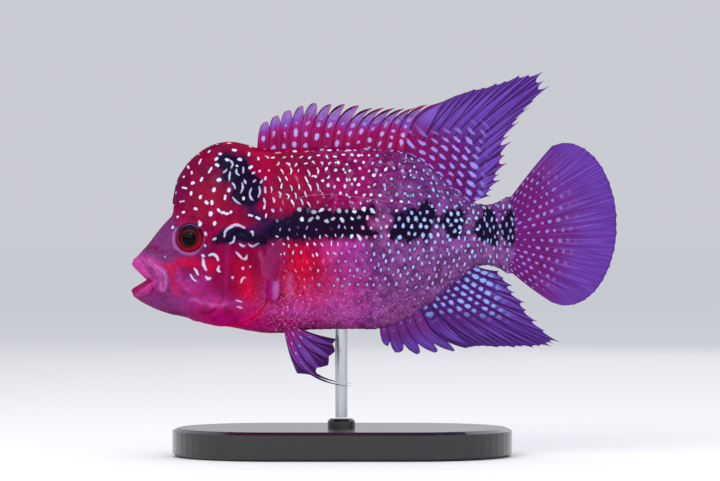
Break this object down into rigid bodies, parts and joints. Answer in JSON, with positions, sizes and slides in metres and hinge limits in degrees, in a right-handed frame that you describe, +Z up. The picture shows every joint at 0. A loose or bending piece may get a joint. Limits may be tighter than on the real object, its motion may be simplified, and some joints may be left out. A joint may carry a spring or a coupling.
{
  "type": "aquarium fish display model",
  "caption": "Still model of a deep-bodied cichlid with a rounded hump on its forehead, tall trailing fins and an open mouth, on a rod and an oval base.",
  "frame": {"origin": "on the floor under the middle of the whole model's box", "axes": "+Z up, -X towards the fish's snout, +X towards its tail, -Y towards its left flank"},
  "size_m": [0.12, 0.05, 0.0951],
  "materials": {
    "skin_front": "wet gloss over red and mauve skin",
    "skin_hump": "wet gloss over crimson skin",
    "skin_flank": "wet gloss over crimson to purple scales",
    "eye": "clear wet gloss",
    "fin_membrane": "damp satin, purple",
    "fin_clear": "damp, half clear, pink",
    "stand_base": "smooth black acrylic",
    "stand_rod": "plain satin steel"
  },
  "bodies": {
    "root": {"head": "skin_front", "nuchal_hump": "skin_hump", "lower_jaw": "skin_front", "torso": "skin_flank", "tail_peduncle": "skin_flank", "gill_cover_left": "skin_front", "gill_cover_right": "skin_front", "eye_left": "eye", "eye_right": "eye", "dorsal_fin_spiny": "fin_membrane", "dorsal_fin_soft": "fin_membrane", "anal_fin_spiny": "fin_membrane", "anal_fin_soft": "fin_membrane", "caudal_fin": "fin_membrane", "pelvic_fin_left": "fin_membrane", "pelvic_fin_right": "fin_membrane", "pectoral_fin_left": "fin_clear", "pectoral_fin_right": "fin_clear", "stand_base": "stand_base", "stand_rod": "stand_rod"}
  },
  "joints": []
}
